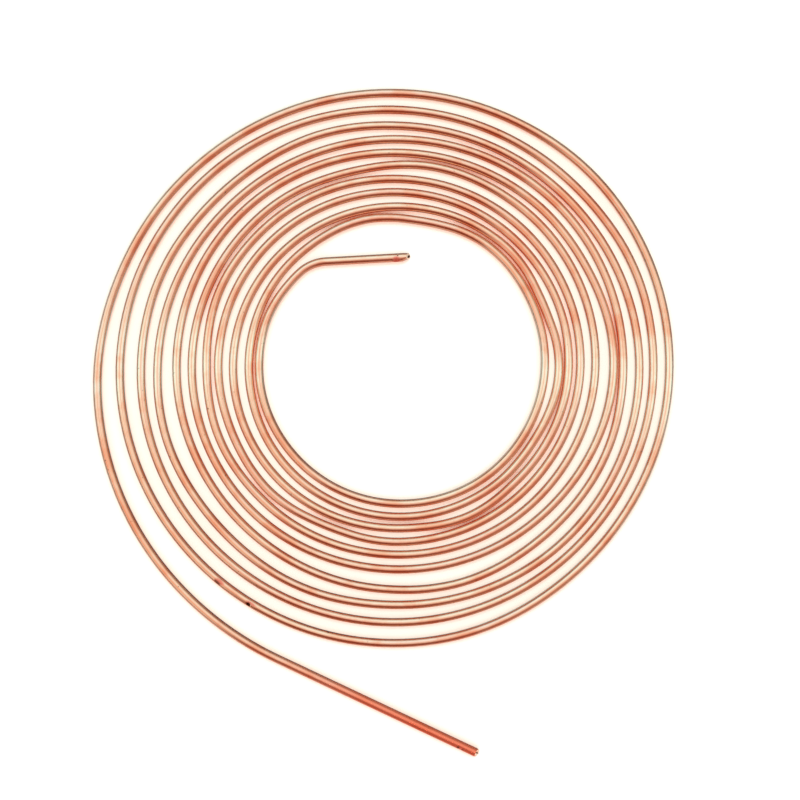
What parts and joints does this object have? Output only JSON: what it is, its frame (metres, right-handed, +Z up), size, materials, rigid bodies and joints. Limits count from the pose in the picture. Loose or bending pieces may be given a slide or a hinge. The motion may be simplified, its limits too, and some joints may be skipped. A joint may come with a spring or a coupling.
{
  "type": "copper tube coil",
  "caption": "Flat, loosely wound spiral of thin soft copper tube, with a short lead bent across its eye and a straight tail springing off the outer turn.",
  "frame": {"origin": "on the floor, below the middle of the box that the whole coil and its tail take up", "axes": "+Z up off the floor, along the coil's axis; -Y towards the end of the tail, and +X to the right as the coil is seen from above with the tail at the bottom"},
  "size_m": [0.3206, 0.3694, 0.0048],
  "materials": {
    "copper": "bright drawn copper, lightly handled, with fine drawing lines along the tube and a warm tarnish in places"
  },
  "bodies": {
    "root": {"copper_tube": "copper"}
  },
  "joints": []
}
